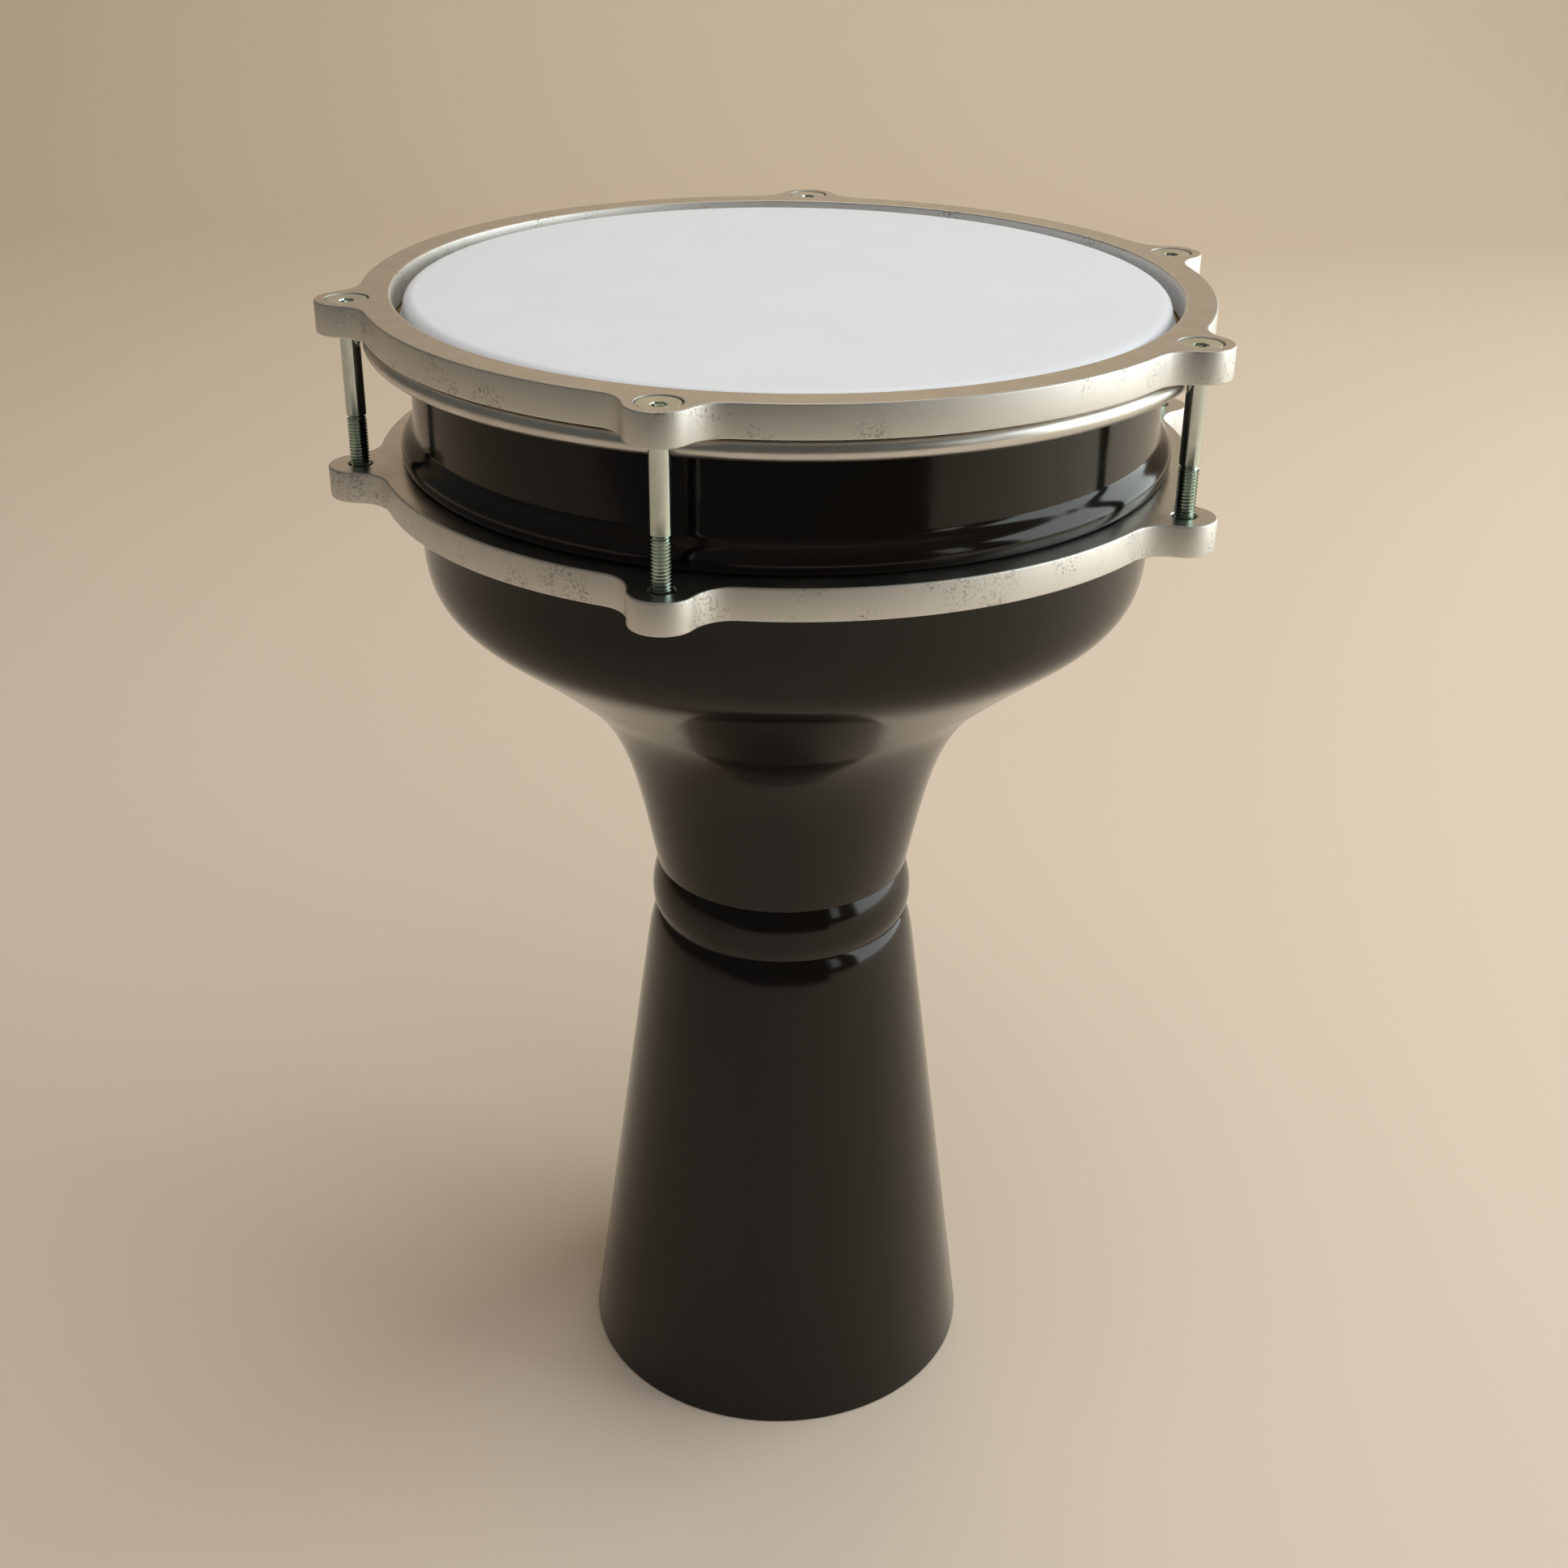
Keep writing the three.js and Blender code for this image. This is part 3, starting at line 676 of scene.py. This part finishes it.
def makeScrew(number, place, low, high):
    s = screw
    top, tip = high[2], low[2]
    landZ = top - s["headLand"]
    shoulderZ = s["threadTop"]
    head, shank, core = s["headRadius"], s["shankRadius"], s["coreRadius"]
    sections = [(core - 0.7, tip), (core, tip + 0.7), (core, shoulderZ), (shank, shoulderZ + 0.6),
                (shank, landZ - (head - shank) - 0.3), (shank + 0.25, landZ - (head - shank) + 0.25),
                (head - 0.08, landZ - 0.08), (head, landZ), (head, top - 0.2), (head - 0.2, top)]
    bm = bmesh.new()
    loops = [addLoop(bm, circlePoints((0, 0), radius, s["roundSteps"]), z) for radius, z in sections]
    joinLoops(bm, loops)
    bmesh.ops.edgeloop_fill(bm, edges=loops[0])
    corner = s["socketFlats"] / math.sqrt(3)
    dishZ = top - s["dishDepth"]
    dishLoops = [addLoop(bm, circlePoints((0, 0), radius, s["roundSteps"]), z)
                 for radius, z in ((s["dishRadius"], top), (s["dishFloor"], dishZ))]
    joinLoops(bm, dishLoops)
    bmesh.ops.triangle_fill(bm, edges=loops[-1] + dishLoops[0], use_beauty=True)
    socketLoops = [addLoop(bm, circlePoints((0, 0), radius, 6), z) for radius, z in (
        (corner + 0.12, dishZ), (corner, dishZ - 0.2), (corner, top - s["socketDepth"]))]
    joinLoops(bm, socketLoops)
    bmesh.ops.triangle_fill(bm, edges=dishLoops[1] + socketLoops[0], use_beauty=True)
    floor = bmesh.ops.edgeloop_fill(bm, edges=socketLoops[-1])["faces"]
    drill = bmesh.ops.poke(bm, faces=floor)["verts"]
    bmesh.ops.translate(bm, verts=drill, vec=(0, 0, -mm(s["drillDepth"])))
    addThread(bm, tip + 0.6, shoulderZ + 0.2)
    bmesh.ops.translate(bm, verts=bm.verts, vec=(mm(place[0]), mm(place[1]), 0))
    for face in bm.faces:
        face.material_index = 1 if face.calc_center_median().z < mm(shoulderZ) else 0
    piece = finishPiece(f"tensionScrew{number}", bm, sharpAngle=28)
    return show(piece, f"screw_{number}", "zinc_steel", [zincPlate, zincThread], f"tension_screw_{number}")


def makeInsert(number, place, low, high):
    i = insert
    outline = roundedOutline([
        (i["inner"], low[2], i["chamfer"]), (i["outer"], low[2], i["edge"]),
        (i["outer"], high[2], i["edge"]), (i["inner"], high[2], i["chamfer"]),
    ])
    bm = turnedMesh(outline, i["steps"])
    bmesh.ops.translate(bm, verts=bm.verts, vec=(mm(place[0]), mm(place[1]), 0))
    return show(finishPiece(f"threadInsert{number}", bm), "shell", "insert_steel", [turnedSteel],
                f"thread_insert_{number}")


makeFoot()
makeCollar()
makeBowl()
print("shell ready")
makeTopHoop()
makeLowerRing()
print("rings ready")
makeFleshHoop()
makeFleshResin()
makeFilm()
print("head ready")
for number, place in enumerate(lugPlaces, start=1):
    makeScrew(number, place, *screwBoxes[number - 1])
    makeInsert(number, place, *insertBoxes[number - 1])
print("screws ready")

# backdrop, light and camera

# angles are in degrees round the drum: where the curtain starts, how far it runs, and where its hem
# comes down
curtain = {"radius": 1.05, "top": 1.6, "start": 150, "sweep": 160, "hemStart": 30, "hemEnd": 100,
           "hemHigh": 0.3, "hemLow": 0.004, "steps": 64, "colour": "#5b5d5c"}

studio = {"paper": "#decdb8", "front": -20, "bendStart": 1.9, "bendRadius": 0.9, "bendSteps": 32, "top": 5,
          "halfWidth": 20, "air": "#d8c9b0", "airStrength": 0.2}


def makeBackdrop():
    # seamless paper: flat under the drum, bending up into a wall far behind it
    t = studio
    bm = bmesh.new()
    bend = [(t["bendStart"] + t["bendRadius"] * math.sin(a), t["bendRadius"] * (1 - math.cos(a)))
            for a in (math.pi / 2 * i / t["bendSteps"] for i in range(t["bendSteps"] + 1))]
    line = [(t["front"], 0), *bend, (t["bendStart"] + t["bendRadius"], t["top"])]
    verts = [bm.verts.new((-t["halfWidth"], y, z)) for y, z in line]
    edges = [bm.edges.new(pair) for pair in zip(verts, verts[1:])]
    swept = bmesh.ops.extrude_edge_only(bm, edges=edges)["geom"]
    bmesh.ops.translate(bm, verts=[g for g in swept if isinstance(g, bmesh.types.BMVert)],
                        vec=(2 * t["halfWidth"], 0, 0))
    backdrop = finishPiece("studioPaper", bm)
    material, _, shader, _ = startMaterial("paleStudioPaper", Metallic=0, Roughness=0.8)
    shader.inputs["Base Color"].default_value = colour(t["paper"])
    backdrop.data.materials.append(material)


def makeCurtain():
    # dark cloth behind and beside the camera, which keeps the room out of the gloss; its hem reaches the
    # floor in front and rises to the left. Only reflections meet it: it is hidden from the camera, from
    # diffuse light and from shadows.
    c = curtain
    start, sweep = math.radians(c["start"]), math.radians(c["sweep"])
    bm = bmesh.new()
    foot = bm.verts.new((c["radius"] * math.cos(start), c["radius"] * math.sin(start), 0))
    head = bm.verts.new((foot.co.x, foot.co.y, c["top"]))
    edge = bm.edges.new((foot, head))
    bmesh.ops.spin(bm, geom=[foot, head, edge], cent=(0, 0, 0), axis=up, angle=sweep, steps=c["steps"])
    for vert in bm.verts:
        if vert.co.z < c["top"] / 2:
            turned = (math.degrees(math.atan2(vert.co.y, vert.co.x)) - c["start"]) % 360
            rise = max(0.0, min(1.0, (c["hemEnd"] - turned) / (c["hemEnd"] - c["hemStart"])))
            vert.co.z = c["hemLow"] + (c["hemHigh"] - c["hemLow"]) * rise * rise * (3 - 2 * rise)
    cloth = finishPiece("blackCurtain", bm)
    material, _, shader, _ = startMaterial("blackVelvet", Metallic=0, Roughness=1)
    shader.inputs["Base Color"].default_value = colour(c["colour"])
    cloth.data.materials.append(material)
    cloth.visible_camera = cloth.visible_diffuse = cloth.visible_shadow = False


# a lamp with inGloss off lights the drum and doesn't show in its reflections
lamps = [
    {"name": "keyLamp", "place": (0.6, -0.6, 2.2), "target": (0, 0, 0.2), "size": (2.2, 2.2), "power": 29,
     "tint": "#eff4ff", "inGloss": False},
    {"name": "windowLamp", "place": (2, 0.3, 0.97), "target": (0, 0, 0.6), "size": (2.6, 1.9), "power": 54,
     "tint": "#e9f2f0"},
    {"name": "windowSideLamp", "place": (1.75, -1.6, 0.95), "target": (0, 0, 0.5), "size": (0.3, 1.2),
     "power": 2, "tint": "#e9f2f0"},
    {"name": "topLamp", "place": (0, 0.25, 2.3), "target": (0, 0.2, 0), "size": (1.6, 1.6), "power": 4,
     "tint": "#f6f6f6"},
    {"name": "paperLamp", "place": (0.1, 1.7, 2.4), "target": (0, 2.3, 0.2), "size": (1.2, 1.2),
     "power": 11.2, "tint": "#fff3e2"},
]


def makeLamps():
    for lamp in lamps:
        light = bpy.data.lights.new(lamp["name"], "AREA")
        light.shape = "RECTANGLE"
        light.size, light.size_y = lamp["size"]
        light.energy = lamp["power"]
        light.color = colour(lamp["tint"])[:3]
        holder = bpy.data.objects.new(lamp["name"], light)
        holder.location = lamp["place"]
        holder.rotation_euler = (Vector(lamp["target"]) - holder.location).to_track_quat("-Z", "Y").to_euler()
        holder.visible_camera = False
        holder.visible_glossy = lamp.get("inGloss", True)
        bpy.context.scene.collection.objects.link(holder)


def makeAir():
    world = bpy.data.worlds.new("studioAir")
    world.use_nodes = True
    background = world.node_tree.nodes["Background"]
    background.inputs["Color"].default_value = colour(studio["air"])
    background.inputs["Strength"].default_value = studio["airStrength"]
    bpy.context.scene.world = world
    bpy.context.scene.view_settings.view_transform = "Standard"


view = {"place": (0, -0.632, 0.5476), "lens": 47.4, "sensor": 36, "clipEnd": 60, "pitch": 27.06, "yaw": 0.05,
        "roll": 0.69}


def makeCamera():
    camera = bpy.data.cameras.new("viewCamera")
    camera.sensor_width = view["sensor"]
    camera.lens = view["lens"]
    camera.clip_end = view["clipEnd"]
    holder = bpy.data.objects.new("viewCamera", camera)
    turn = (Matrix.Rotation(-math.radians(view["yaw"]), 4, "Z")
            @ Matrix.Rotation(math.radians(90 - view["pitch"]), 4, "X")
            @ Matrix.Rotation(math.radians(view["roll"]), 4, "Z"))
    holder.matrix_world = Matrix.Translation(view["place"]) @ turn
    bpy.context.scene.collection.objects.link(holder)
    bpy.context.scene.camera = holder


makeBackdrop()
makeCurtain()
makeLamps()
makeAir()
makeCamera()
print("studio ready")
